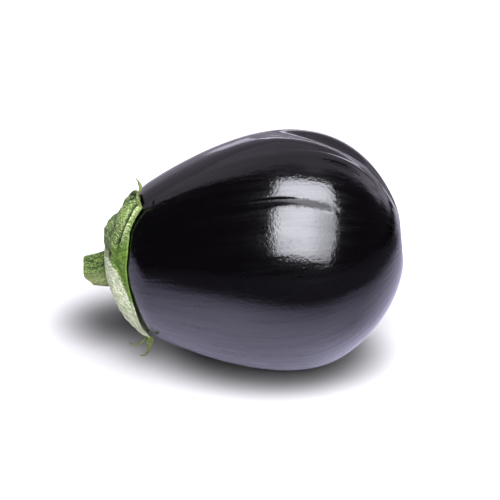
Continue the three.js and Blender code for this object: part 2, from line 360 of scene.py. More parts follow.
def skin(points, angle):
    """The fruit's skin: outline points down the rows, angles along the columns."""
    station = points[:, 0][:, None]
    radius = points[:, 1][:, None]
    full = radius * (1.0 + relief(station, angle[None, :]) / RADIUS)
    dent = (station > 0.0) * BLOSSOM_SCAR["depth"] * hump(radius, BLOSSOM_SCAR["radius"])
    return around(station - dent, full, angle[None, :])


def scar_mask(station, angle):
    """1 on the corky scar, which keeps below its crease, and 0 away from it."""
    at, drift, power = CREASES[SCAR["crease"]][:3]
    line = at + drift * np.clip(station / RADIUS, 0.0, 1.0) ** power
    across = hump(between(angle, line - SCAR["below"]), SCAR["width"], 3.0)
    return across * smooth(station, *SCAR["comes"]) * (1.0 - smooth(station, *SCAR["goes"]))


def make_fruit():
    """Rings from the stem pole to the blossom pole, crowded at the pleats and flat where it rests.

    Its "marks" attribute holds the corky scar's mask. Its "grain" attribute is a place on a cylinder:
    the length of outline passed, then the direction round the axis at the full radius, all in
    millimetres, so that patterns on it run lengthwise.
    """
    columns = GRID["fruit_columns"]
    even = 360.0 * np.arange(columns) / columns
    angles = GRID["crowded_at"] + even - np.degrees(GRID["crowding"] * np.sin(np.radians(even)))
    stations = np.vstack(outline(GRID["fruit_rows"]))
    passed = np.cumsum(np.hypot(*np.diff(stations, axis=0, prepend=stations[:1]).T))
    rings = skin(stations[:-1], angles)
    poles = np.array([[STEM_POLE, 0.0, 0.0], [BLOSSOM_POLE - BLOSSOM_SCAR["depth"], 0.0, 0.0]])
    points = laid(np.vstack([rings.reshape(-1, 3), poles]))
    points[:, 2] = np.maximum(points[:, 2], 0.0)
    piece = make_mesh("fruit_skin", points, *capped_faces(len(stations) - 1, columns))
    scar = scar_mask(stations[:-1, :1], angles[None, :])
    marks = np.stack([scar, 0.0 * scar, 0.0 * scar], axis=-1).reshape(-1, 3)
    write_attribute(piece, "marks", np.vstack([marks, np.zeros((2, 3))]))
    grain = around(passed[:-1, None], RADIUS, angles[None, :]).reshape(-1, 3)
    ends = np.array([[0.0, 0.0, 0.0], [passed[-1], 0.0, 0.0]])
    write_attribute(piece, "grain", np.vstack([grain, ends]))
    return piece


# ---- calyx --------------------------------------------------------------------------------------


def over_skin(arc, height, angle):
    """Points at a length of arc from the stem pole, a height over the smooth skin and an angle."""
    line = np.vstack([[STEM_POLE, 0.0], *outline((200, 200, 1))[:2]])
    passed = np.concatenate([[0.0], np.cumsum(np.hypot(*np.diff(line, axis=0).T))])
    slope = np.gradient(line, passed, axis=0)
    slope /= np.hypot(*slope.T)[:, None]
    station, radius = (np.interp(arc, passed, column) for column in line.T)
    along, outward = (np.interp(arc, passed, column) for column in slope.T)
    return around(station - outward * height, radius + along * height, angle)


def lobe_share(angle, at, width):
    """1 on the middle line of a lobe, falling evenly to 0 at its half-width."""
    return np.clip(1.0 - np.abs(between(angle, at)) / width, 0.0, 1.0)


def margin_arc(angle):
    """Where the margin runs: the furthest of the lobes, each a broad swell with a drawn-out point."""
    beyond = [
        reach * (1.0 - (1.0 - lobe_share(angle, at, width)) ** 1.8)
        + point * lobe_share(angle, at, fine) ** 1.4
        for at, reach, width, point, fine, _, _ in LOBES
    ]
    return CALYX["reach"] + np.max(beyond, axis=0)


def calyx_lift(share, angle):
    """How far the rim stands off the skin, most at the lobes and only near the margin."""
    lift = np.max([lift * lobe_share(angle, at, width) for at, _, width, _, _, _, lift in LOBES], axis=0)
    return lift * share**4


def calyx_folds(arc, angle):
    """Shares across the three folds at the top of the calyx: rolled strap, middle ridge, hood.

    Two creases part them; outside its fold a share is clipped to 0 or 1.
    """
    main_angle, main_arc, main_turn = FOLDS["main"]
    behind_angle, behind_arc, behind_turn = FOLDS["behind"]
    main = main_angle + main_turn * (arc - main_arc)
    behind = behind_angle + behind_turn * (arc - behind_arc)
    begins = main_arc + (angle - main_angle) / main_turn
    strap = np.clip((arc - begins) / np.maximum(margin_arc(angle) - begins, 0.5), 0.0, 1.0)
    ridge = np.clip((angle - main) / np.maximum(behind - main, 3.0), 0.0, 1.0)
    hood = np.clip((angle - behind) / FOLDS["hood"], 0.0, 1.0)
    return main, behind, strap, ridge, hood


def calyx_marks(arc, angle):
    """Masks over the calyx: rolled strap, creases, pale lower lobe, green bay.

    The creases are the two between the folds, a hollow inside the hood's margin and one corner; they
    are dented in the shape and darken the leaf's colour as painted shade. The lower lobe's border
    slants, and the bay lies between it and the strap.
    """
    main, behind, across, _, _ = calyx_folds(arc, angle)
    strap = smooth(angle, *MARKS["strap"]) * np.sin(np.pi * across) ** 0.6
    crease = hump(angle - main, MARKS["main_width"]) * smooth(arc, *MARKS["main_arcs"])
    second = hump(angle - behind, MARKS["behind_width"]) * smooth(arc, *MARKS["behind_arcs"])
    crease = np.maximum(crease, 0.9 * second)
    inside, inside_width = MARKS["hollow"]
    hollow = hump(margin_arc(angle) - arc - inside, inside_width) * smooth(angle, *MARKS["hollow_comes"])
    hollow = hollow * (1.0 - smooth(angle, *MARKS["hollow_goes"]))
    corner_arc, corner_length = MARKS["corner_arc"]
    corner_angle, corner_width = MARKS["corner_angle"]
    corner = hump(arc - corner_arc, corner_length) * hump(angle - corner_angle, corner_width)
    crease = np.maximum(crease, 0.7 * np.maximum(hollow, corner))
    border_angle, border_arc, border_turn = MARKS["border"]
    border = border_angle + border_turn * (arc - border_arc)
    lower = (1.0 - smooth(angle, border - 3.0, border + 3.0)) * smooth(angle, *MARKS["lower_from"])
    collar_angle, collar_width = MARKS["collar_angle"]
    collar = 0.7 * (1.0 - smooth(arc, *MARKS["collar_arcs"]))
    lower = np.maximum(lower, collar * hump(between(angle, collar_angle), collar_width, 4.0))
    bay = smooth(angle, border, border + 6.0) * (1.0 - smooth(angle, *MARKS["bay_goes"]))
    return strap, crease, lower, bay * smooth(arc, *MARKS["bay_arcs"])


def calyx_top(share, arc, angle):
    """Height of the calyx's outer face over the skin.

    A thickness that thins outwards, a puffed back on each lobe, a lifted rim, the bumps, the
    folds and creases, a rib down the middle of each lobe, and crinkles as a sum of crossed waves.
    """
    thin = CALYX["edge"] + (CALYX["collar"] - CALYX["edge"]) * (1.0 - share) ** 1.6
    puffed = [puff * lobe_share(angle, at, width) ** 0.6 for at, _, width, _, _, puff, _ in LOBES]
    back = np.max(puffed, axis=0) * np.sin(np.pi * share**1.3) ** 0.8
    bumps = sum(
        height * hump(arc - at, length) * hump(between(angle, middle), width)
        for at, length, middle, width, height in BUMPS
    )
    strap, crease, lower, bay = calyx_marks(arc, angle)
    _, _, _, ridge, hood = calyx_folds(arc, angle)
    rolled = 0.9 * strap + 0.7 * smooth(arc, 20.0, 28.0) * (np.sin(np.pi * ridge) + np.sin(np.pi * hood))
    folds = rolled + np.sin(np.pi * share**0.7) * (0.35 * lower - 0.8 * bay)
    ribs = sum(hump(between(angle, lobe[0]), 2.4) for lobe in LOBES)
    turn = np.radians(angle)
    crinkle = (
        np.sin(0.9 * arc + 9.0 * turn + 2.0 * np.sin(5.0 * turn))
        + np.sin(0.6 * arc - 14.0 * turn + 1.0)
        + np.sin(1.7 * arc + 23.0 * turn + 0.5 * np.sin(0.7 * arc))
    )
    low_ends = np.sin(np.pi * share) ** 0.7
    fine = low_ends * (0.35 * ribs + 0.11 * crinkle)
    shaped = thin + back + bumps + folds + fine - 2.2 * crease
    return CALYX["gap"] + calyx_lift(share, angle) + np.maximum(shaped, 0.5)


def ribbon(path, half_widths, thickness, sides=12):
    """A closed flattened tube along a path: ellipses across it, each turned with the path."""
    heading = np.gradient(path, axis=0)
    heading /= np.linalg.norm(heading, axis=1)[:, None]
    away = path - np.stack([path[:, 0], np.zeros(len(path)), np.zeros(len(path))], axis=-1)
    across = np.cross(heading, away)
    across /= np.linalg.norm(across, axis=1)[:, None]
    up = np.cross(across, heading)
    turn = 2.0 * np.pi * np.arange(sides) / sides
    wide = (half_widths[:, None] * np.cos(turn))[..., None] * across[:, None, :]
    high = (thickness[:, None] * np.sin(turn))[..., None] * up[:, None, :]
    rings = path[:, None, :] + wide + high
    points = np.vstack([rings.reshape(-1, 3), path[:1], path[-1:]])
    return points, *capped_faces(len(path), sides)


def tip_ribbon(arc, angle, widths, *guides):
    """The thin end of a lobe: cubic curves from inside the rim, wide at the root and at the blade.

    The half-width eases from the root to the waist, with a bell for the blade, and closes at the end.
    """
    lift = float(calyx_lift(np.array(1.0), np.array(angle)))
    height = CALYX["gap"] + lift + 0.5 * CALYX["edge"]

    def place(ahead, rise, turned):
        """A point this far on, out and round from the root."""
        return over_skin(np.array(arc + ahead), np.array(height + rise), np.array(angle + turned))

    root = place(0.0, 0.0, 0.0)
    onwards, outwards, sideways = (place(*step) - root for step in np.diag([0.1, 0.1, 0.1]))
    axes = np.array([axis / np.linalg.norm(axis) for axis in (onwards, outwards, sideways)])
    path = [root - 1.2 * axes[0]]
    for step in range(0, len(guides), 3):
        curve = (path[-1], *(root + np.array(guides[step : step + 3]) @ axes))
        path.extend(bezier(curve, GRID["tip_rows"]))
    path = np.array(path)
    share = np.linspace(0.0, 1.0, len(path))
    wide_root, waist, blade = widths
    half = waist + (wide_root - waist) * (1.0 - smooth(share, 0.0, 0.45))
    half = half + (blade - waist) * hump(share - 0.72, 0.16)
    half *= np.sqrt(np.clip(1.0 - share**6, 0.0, 1.0)) * (1.0 - 0.6 * smooth(share, 0.8, 1.0))
    half = np.maximum(half, TIP_THICKNESS["least"])
    return ribbon(path, half, np.minimum(TIP_THICKNESS["most"], half))


def make_calyx():
    """A closed shell over the stem end of the fruit with thin ends on its lobes.

    Rows run from the stem over the outer face, round the rim and back along the inner face.
    """
    columns = GRID["calyx_columns"]
    outer_rows, rim_rows, inner_rows = GRID["calyx_rows"]
    angle = (360.0 * np.arange(columns) / columns - 180.0)[None, :]
    margin = margin_arc(angle)
    outer = np.linspace(0.0, 1.0, outer_rows)[:, None]
    outer_arc = CALYX["hole"] + (margin - CALYX["hole"]) * outer
    outer_height = calyx_top(outer, outer_arc, angle)
    low = CALYX["gap"] + calyx_lift(np.ones((1, 1)), angle)
    half = 0.5 * (outer_height[-1:] - low)
    round_rim = np.radians(np.linspace(90.0, -90.0, rim_rows)[1:-1])[:, None]
    rim_arc = margin + half * np.cos(round_rim)
    rim_height = low + half * (1.0 + np.sin(round_rim))
    inner = np.linspace(1.0, 0.0, inner_rows)[:, None]
    inner_arc = CALYX["hole"] + (margin - CALYX["hole"]) * inner
    inner_height = CALYX["gap"] + calyx_lift(inner, angle)
    arc = np.vstack([outer_arc, rim_arc, inner_arc])
    height = np.vstack([outer_height, rim_height, inner_height])
    angles = np.broadcast_to(angle, arc.shape)
    rows = len(arc)
    points = over_skin(arc, height, angles).reshape(-1, 3)
    quads = grid_faces(rows, columns)
    seam = grid_faces(2, columns)
    seam = np.where(seam >= columns, seam - columns, seam + (rows - 1) * columns)
    parts = [(points, np.vstack([quads, seam]), np.zeros((0, 3), dtype=int))]
    strap, crease, lower, bay = calyx_marks(arc, angles)
    near_margin = smooth(arc, margin - 1.4, margin)
    marks = [np.stack([lower, bay, crease], axis=-1).reshape(-1, 3)]
    grains = [around(arc, 30.0, angles).reshape(-1, 3)]
    edges = [np.stack([near_margin, strap, np.zeros_like(strap)], axis=-1).reshape(-1, 3)]
    for tip in TIPS:
        parts.append(tip_ribbon(*tip))
        count = len(parts[-1][0])
        # The thin ends get a little of the creases' darkening.
        marks.append(np.tile([0.0, 0.0, 0.3], (count, 1)))
        grains.append(parts[-1][0])
        edges.append(np.tile([0.5, 0.0, 1.0], (count, 1)))
    points, quads, triangles = joined(parts)
    piece = make_mesh("calyx_leaves", laid(points), quads, triangles)
    write_attribute(piece, "marks", np.vstack(marks))
    write_attribute(piece, "grain", np.vstack(grains))
    write_attribute(piece, "edges", np.vstack(edges))
    return piece


def joined(parts):
    """Several sets of points, quads and triangles as one set, with the faces renumbered."""
    firsts = np.cumsum([0] + [len(points) for points, _, _ in parts])
    points = np.vstack([part[0] for part in parts])
    quads = np.vstack([part[1] + first for part, first in zip(parts, firsts)])
    triangles = np.vstack([part[2] + first for part, first in zip(parts, firsts)])
    return points, quads, triangles


# ---- stem ---------------------------------------------------------------------------------------


def make_stem():
    """A ribbed stem: rings from the calyx to the cut, then over the cut face to its middle.

    Five ribs and two finer waves of grooves swell its radius, the underside flares, and the cut face
    is a little hollow with a raised ring.
    """
    rows, columns = GRID["stem_rows"], GRID["stem_columns"]
    angle = (-360.0 * np.arange(columns) / columns)[None, :]
    base = STEM_POLE - TISSUE_GAP
    side = np.linspace(0.0, 1.0, rows)[:, None]
    size = STEM["base_radius"] + (STEM["cut_radius"] - STEM["base_radius"]) * side**0.7
    ribs = STEM["rib"] * np.cos(np.radians(STEM["ribs"] * angle))
    turn = np.radians(angle)
    grooves = 0.030 * np.sin(13.0 * turn + 1.2 * np.sin(3.0 * turn)) + 0.014 * np.sin(29.0 * turn + 2.0)
    grooves = grooves * (0.6 + 0.4 * np.sin(9.0 * side + 2.0 * np.sin(2.0 * turn)))
    radius = size * (1.0 + ribs + grooves)
    below = smooth(-np.sin(turn), 0.3, 0.9)
    flare = STEM["flare"] - STEM["flare_loss"] * side
    radius = radius + below * smooth(side, 0.1, 0.4) * flare
    station = base + (STEM["cut"] - base) * side
    face = np.array([0.985, 0.96, 0.9, 0.8, 0.65, 0.45, 0.25, 0.1])[:, None]
    hollow = 0.35 * smooth(1.0 - face, 0.0, 0.5) - 0.25 * hump(face - 0.75, 0.12)
    radius = np.vstack([radius, radius[-1:] * face])
    share = np.vstack([side, np.ones_like(face)])
    station = np.vstack([np.broadcast_to(station, (rows, 1)), STEM["cut"] + hollow])
    points = around(station, radius, angle)
    height = points[..., 2].copy()
    points[..., 0] += share * height * math.tan(math.radians(STEM["slant"]))
    points[..., 0] += share**4 * STEM["bite"] * smooth(-height, 2.2, 5.0)
    points[..., 2] -= STEM["drop"] * share**0.6
    ends = np.array([[base, 0.0, 0.0], [STEM["cut"] + 0.35, 0.0, -STEM["drop"]]])
    every = np.vstack([points.reshape(-1, 3), ends])
    piece = make_mesh("cut_stem", laid(every), *capped_faces(len(points), columns))
    cut = np.vstack([np.zeros((rows, 1)), 1.0 - face])
    layers = (share, cut, 0.0 * cut)
    marks = np.stack([np.broadcast_to(layer, (len(points), columns)) for layer in layers], axis=-1)
    write_attribute(piece, "marks", np.vstack([marks.reshape(-1, 3), [[0.0, 0.0, 0.0], [1.0, 1.0, 0.0]]]))
    write_attribute(piece, "grain", every)
    return piece


# ---- materials ----------------------------------------------------------------------------------

# Colours, and each surface's roughness and index of refraction.
SKIN = {
    "dark": (0.0002, 0.0001, 0.0002),
    "purple": (0.0005, 0.0002, 0.0004),
    "wax": (0.07, 1.5),
    "film": (0.28, 1.38),
    "cork": (0.3, 1.18),
    "relief": 0.00022,  # height of the bumps, in metres
}
LEAF = {
    "deep": (0.018, 0.044, 0.004),
    "green": (0.085, 0.135, 0.020),
    "vein": (0.20, 0.25, 0.09),
    "hair": (0.28, 0.33, 0.17),
    "pit": (0.008, 0.016, 0.002),
    "pale": (0.32, 0.37, 0.19),
    "palest": (0.70, 0.72, 0.55),
    "pale_pit": (0.06, 0.10, 0.02),
    "fresh_deep": (0.020, 0.060, 0.002),
    "fresh": (0.12, 0.21, 0.014),
    "band_deep": (0.10, 0.14, 0.03),
    "band": (0.50, 0.55, 0.29),
    "rim": (0.045, 0.075, 0.012),
    # Painted shade near the margin, toning down the light that its rounded edge catches.
    "tip": (0.09, 0.105, 0.022),
    # Painted shade, laid over the creases, the hood's hollow and one corner.
    "crease": (0.006, 0.008, 0.002),
    "surface": (0.7, 1.3),
    "relief": 0.0007,
}
BARK = {
    "deep": (0.006, 0.016, 0.002),
    "green": (0.075, 0.125, 0.016),
    "underside": (0.24, 0.28, 0.11),
    "speck": (0.22, 0.27, 0.09),
    "pit": (0.012, 0.026, 0.003),
    "cut_rind": (0.07, 0.085, 0.03),
    "cut_pith": (0.20, 0.20, 0.11),
    "surface": (0.6, 1.3),
    "relief": 0.0008,
}


class Socket:
    """One output of a shader tree. Arithmetic on it adds Math nodes; mix() works on colours too."""

    def __init__(self, tree, output):
        self.tree = tree
        self.output = output

    def math(self, operation, *operands):
        """The result of a Math node on these operands."""
        return self.tree.math(operation, *operands)

    def __add__(self, other):
        return self.math("ADD", self, other)

    def __radd__(self, other):
        return self.math("ADD", other, self)

    def __sub__(self, other):
        return self.math("SUBTRACT", self, other)

    def __rsub__(self, other):
        return self.math("SUBTRACT", other, self)

    def __mul__(self, other):
        return self.math("MULTIPLY", self, other)

    def __rmul__(self, other):
        return self.math("MULTIPLY", other, self)

    def __pow__(self, other):
        return self.math("POWER", self, other)

    def part(self, index):
        """The x, y or z of a vector."""
        return self.tree.node("ShaderNodeSeparateXYZ", None, self, output=index)

    def reach(self, shift, scale):
        """How far a place lies from zero once it is scaled and then shifted."""
        moved = self.tree.node("ShaderNodeMapping", None, self, (*shift, 0.0), None, (*scale, 0.0))
        return self.tree.node("ShaderNodeVectorMath", {"operation": "LENGTH"}, moved, output=1)

    def ease(self, low, high):
        """0 below low, 1 above high, smooth between; high may be the smaller one."""
        settings = {"interpolation_type": "SMOOTHSTEP"}
        if low < high:
            return self.tree.node("ShaderNodeMapRange", settings, self, low, high, 0.0, 1.0)
        return self.tree.node("ShaderNodeMapRange", settings, self, high, low, 1.0, 0.0)


class Tree:
    """A material's or world's node tree, emptied, with one method that adds any node."""

    def __init__(self, owner):
        owner.use_nodes = True
        self.nodes = owner.node_tree.nodes
        self.links = owner.node_tree.links
        self.nodes.clear()

    def node(self, kind, settings=None, *values, output=0, **named):
        """Adds a node: its settings first, then values or links of its sockets, by place or by name."""
        node = self.nodes.new(kind)
        for key, value in (settings or {}).items():
            setattr(node, key, value)
        for place, value in list(enumerate(values)) + list(named.items()):
            socket = node.inputs[place.replace("_", " ") if isinstance(place, str) else place]
            if isinstance(value, Socket):
                self.links.new(value.output, socket)
            elif value is not None:
                socket.default_value = value
        return Socket(self, node.outputs[output]) if node.outputs else None

    def math(self, operation, *operands):
        """The result of a Math node on these operands."""
        return self.node("ShaderNodeMath", {"operation": operation}, *operands)

    def attribute(self, name):
        """The vectors that were written on the mesh under a name."""
        return self.node("ShaderNodeAttribute", {"attribute_name": name}, output=1)

    def surface(self, colour, bump, roughness, bending):
        """A plain opaque surface; bending is its index of refraction."""
        values = {"Base_Color": colour, "Roughness": roughness, "Normal": bump, "IOR": bending}
        return self.node("ShaderNodeBsdfPrincipled", **values)

    def mix(self, share, first, second):
        """A colour between two colours."""
        node = self.nodes.new("ShaderNodeMix")
        node.data_type = "RGBA"
        for name, value in (("Factor_Float", share), ("A_Color", first), ("B_Color", second)):
            socket = next(item for item in node.inputs if item.identifier == name)
            if isinstance(value, Socket):
                self.links.new(value.output, socket)
            else:
                socket.default_value = value if name == "Factor_Float" else (*value, 1.0)
        return Socket(self, next(item for item in node.outputs if item.identifier == "Result_Color"))


def skin_material():
    """Near-black purple skin with a wax gloss, lengthwise streaks and fine scuffs.

    A duller film lies over the gloss in long streaks: it spreads the reflections. The scuffs are
    weaker along the top, and the crease's scar is corky and hardly shines.
    """
    material = bpy.data.materials.new("eggplant_skin")
    tree = Tree(material)
    grain = tree.attribute("grain")
    place = tree.node("ShaderNodeTexCoord", output=3)
    long = tree.node("ShaderNodeMapping", None, grain, Scale=(0.12, 1.0, 1.0))
    streaks = tree.node("ShaderNodeTexNoise", None, long, Scale=0.38, Detail=2.0, Roughness=0.55)
    waves = tree.node("ShaderNodeTexNoise", None, long, Scale=0.16, Detail=1.0, Roughness=0.5)
    scuffs = tree.node("ShaderNodeTexNoise", None, place, Scale=850.0, Detail=2.0, Roughness=0.6)
    top = grain.part(2).ease(41.0, 46.0)
    height = waves * 0.5 + streaks * 0.2 + scuffs * (0.30 - 0.22 * top)
    bump = tree.node("ShaderNodeBump", None, Strength=1.0, Distance=SKIN["relief"], Height=height)
    blotch = tree.node("ShaderNodeTexNoise", None, place, Scale=45.0, Detail=3.0)
    colour = tree.mix(blotch, SKIN["dark"], SKIN["purple"])
    gloss = tree.surface(colour, bump, *SKIN["wax"])
    dull = tree.surface(colour, bump, *SKIN["film"])
    slanted = tree.node("ShaderNodeMapping", None, grain, Rotation=(0.0, 0.0, 0.6), Scale=(0.12, 2.0, 0.6))
    scratches = tree.node("ShaderNodeTexNoise", None, slanted, Scale=0.9, Detail=3.0, Roughness=0.6)
    film = 0.06 + 0.22 * streaks.ease(0.35, 0.70) + 0.12 * scratches.ease(0.52, 0.7)
    skin_shader = tree.node("ShaderNodeMixShader", None, film, gloss, dull)
    corky = tree.surface(colour, bump, *SKIN["cork"])
    marks = tree.attribute("marks")
    scar = marks.part(0)
    scar = (scar + 0.9 * (streaks - 0.5) + 1.2 * (scuffs - 0.5)).ease(0.1, 0.9) * 0.85
    shader = tree.node("ShaderNodeMixShader", None, scar, skin_shader, corky)
    tree.node("ShaderNodeOutputMaterial", None, shader)
    return material


def calyx_material():
    """Downy green leaf tissue: net of pale veins, pale lower lobe, fresh green bay, dark creases.

    The rolled strap has crossed bands. The creases are darkened as painted shade, the rim is darkened
    as painted shade against the light its rounded edge catches, and the thin ends are duller.
    """
    material = bpy.data.materials.new("calyx_leaf")
    tree = Tree(material)
    grain = tree.attribute("grain")
    marks = tree.attribute("marks")
    edges = tree.attribute("edges")
    lower = marks.part(0)
    bay = marks.part(1)
    crease = marks.part(2)
    rim = edges.part(0)
    strap = edges.part(1)
    thin = edges.part(2)
    long = tree.node("ShaderNodeMapping", None, grain, Scale=(0.25, 1.0, 1.0))
    fibres = tree.node("ShaderNodeTexNoise", None, long, Scale=1.1, Detail=3.0, Roughness=0.65)
    specks = tree.node("ShaderNodeTexNoise", None, grain, Scale=1.9, Detail=2.0, Roughness=0.6)
    slanted = tree.node("ShaderNodeMapping", None, grain, Rotation=(0.0, 0.7, 0.5), Scale=(0.5, 2.2, 0.5))
    crossed = tree.node("ShaderNodeTexNoise", None, slanted, Scale=0.9, Detail=2.0)
    broad = tree.node("ShaderNodeTexNoise", None, grain, Scale=0.16, Detail=2.0)
    veins = tree.node("ShaderNodeTexVoronoi", {"feature": "DISTANCE_TO_EDGE"}, grain, None, 0.42)
    net = veins.ease(0.16, 0.02)
    green = tree.mix(broad.ease(0.3, 0.7), LEAF["deep"], LEAF["green"])
    green = tree.mix(net * 0.4, green, LEAF["vein"])
    green = tree.mix(specks.ease(0.53, 0.63) * 0.65, green, LEAF["hair"])
    green = tree.mix(specks.ease(0.48, 0.40) * 0.8, green, LEAF["pit"])
    pale = tree.mix(fibres.ease(0.35, 0.6), LEAF["pale"], LEAF["palest"])
    pale = tree.mix(specks.ease(0.46, 0.38) * 0.75, pale, LEAF["pale_pit"])
    fresh = tree.mix(fibres.ease(0.3, 0.7), LEAF["fresh_deep"], LEAF["fresh"])
    colour = tree.mix(lower * 0.85, green, pale)
    colour = tree.mix(bay * 0.85, colour, fresh)
    bands = tree.mix(crossed.ease(0.4, 0.6), LEAF["band_deep"], LEAF["band"])
    colour = tree.mix(strap * 0.8, colour, bands)
    # Painted shade near the margin, against the light its rounded edge catches.
    colour = tree.mix(rim * 0.5, colour, LEAF["rim"])
    colour = tree.mix(thin * 0.6, colour, LEAF["tip"])
    # Painted shade in the creases, the hood's hollow and one corner.
    colour = tree.mix(crease.ease(0.15, 0.65) * 0.95, colour, LEAF["crease"])
    height = specks * 0.5 + net * 0.35 + fibres * 0.6
    bump = tree.node("ShaderNodeBump", None, Strength=1.0, Distance=LEAF["relief"], Height=height)
    shader = tree.surface(colour, bump, *LEAF["surface"])
    tree.node("ShaderNodeOutputMaterial", None, shader)
    return material


def stem_material():
    """Green bark with pale specks and dark pits, paler on the underside, and a dried cut face."""
    material = bpy.data.materials.new("stem_bark")
    tree = Tree(material)
    grain = tree.attribute("grain")
    marks = tree.attribute("marks")
    cut = marks.part(1)
    long = tree.node("ShaderNodeMapping", None, grain, Scale=(0.3, 1.0, 1.0))
    fibres = tree.node("ShaderNodeTexNoise", None, long, Scale=1.4, Detail=3.0, Roughness=0.65)
    specks = tree.node("ShaderNodeTexNoise", None, grain, Scale=1.8, Detail=2.0, Roughness=0.6)
    below = grain.part(2).ease(1.0, -4.0)
    colour = tree.mix(fibres.ease(0.4, 0.62), BARK["deep"], BARK["green"])
    colour = tree.mix(below * 0.6, colour, BARK["underside"])
    colour = tree.mix(specks.ease(0.53, 0.66) * 0.6, colour, BARK["speck"])
    colour = tree.mix(specks.ease(0.47, 0.38) * 0.7, colour, BARK["pit"])
    pith = tree.mix(cut.ease(0.25, 0.6), BARK["cut_rind"], BARK["cut_pith"])
    colour = tree.mix(cut.ease(0.01, 0.06), colour, pith)
    height = fibres + specks * 0.5
    bump = tree.node("ShaderNodeBump", None, Strength=1.0, Distance=BARK["relief"], Height=height)
    shader = tree.surface(colour, bump, *BARK["surface"])
    tree.node("ShaderNodeOutputMaterial", None, shader)
    return material


# ---- studio -------------------------------------------------------------------------------------

STUDIO = {
    "floor_side": 1500.0,
    "floor_back": 1300.0,
    "lit_centre": (-60.0, 150.0),  # reflections of the floor fade out from 215 to 300 mm round here
    "lit_radius": 215.0,
    "unlit_radius": 300.0,
    # Painted shadow on the floor's reflections, over the front right.
    "front_painted_shadow": (0.5, 80.0, 120.0, -225.0, -175.0),  # darker by this share from here to the right
    "tint": (1.0, 0.93, 1.13),  # of the wall and of the far floor
    "far_end": (400.0, 310.0),  # the far floor glows up to here on the right
    # Painted light: the floor's colour in reflections, bright near the fruit and dark away from it.
    "lit_colour": (0.55, 0.525, 0.66),  # the floor in reflections, near the fruit
    "unlit_colour": (0.03, 0.03, 0.035),  # and away from it
    "light_distance": 800.0,
    "light_colour": (0.96, 0.97, 1.06),
    "light_glow": 17.5,
}
# What the camera sees of the floor: a painted shadow, darker over an oval round the fruit's flat
# spot and under the stem end. A place in metres is scaled, then shifted; its distance from zero is
# its share of an oval round the fruit's flat spot.
FLOOR_PAINTED_SHADOW = {
    "shift": (0.028, -0.012),
    "scale": (19.2, 23.8),
    "core": 0.12,  # brightness in the middle
    "steps": [(0.235, 0.5, 1.1), (0.05, 1.4, 2.3), (0.2, 2.0, 4.0)],  # what each adds, begins, full
    "tint": (1.0, 0.98, 0.95),
    "stem_shift": (0.073, -0.031),  # a second, round shade under the stem end, in metres
    "stem_scale": (1.0, 1.0),
    "stem_depth": 0.75,
    "stem_reach": (0.036, 0.004),
    "white": (4.5, 9.0),  # between these shares the floor turns into a plain glow
    "white_glow": 1.05,
}
# Patches of the wall behind, in millimetres: left and right end, bottom, top, and their glow.
WALL = [
    (-2700.0, -450.0, 0.0, 421.0, 0.6),
    (-450.0, -237.0, 0.0, 221.0, 0.5),
    (-450.0, -237.0, 221.0, 421.0, 1.9),
    (-237.0, 800.0, 0.0, 349.0, 0.5),
    (-237.0, 800.0, 349.0, 502.0, 2.7),
    (-237.0, 800.0, 502.0, 620.0, 0.6),
    (-2700.0, -237.0, 421.0, 620.0, 0.45),
    (800.0, 1250.0, 0.0, 330.0, 1.0),
    (800.0, 1250.0, 330.0, 620.0, 0.42),
    (1250.0, 1600.0, 330.0, 1250.0, 1.2),
    (-2700.0, 1250.0, 620.0, 1250.0, 0.40),
    (-2700.0, 1800.0, 1250.0, 5300.0, 0.62),
]
# Directions from the fruit to the corners of the large soft light, overhead and to the front right.
LIGHT_CORNERS = [(-0.21, -0.90, 0.305), (0.665, -0.735, 0.08), (0.55, 0.09, 0.83), (-0.19, 0.0, 0.98)]


def glow(name, strength):
    """A plain glow in the studio's tint."""
    material = bpy.data.materials.new(name)
    tree = Tree(material)
    light = tree.node("ShaderNodeEmission", None, (*STUDIO["tint"], 1.0), strength)
    tree.node("ShaderNodeOutputMaterial", None, light)
    return material


def panel(name, corners, material, seen=False):
    """A flat four-cornered piece of the studio, given in millimetres."""
    piece = make_mesh(name, np.array(corners) * MM, np.array([[0, 1, 2, 3]]))
    piece.data.materials.append(material)
    piece.visible_camera = seen


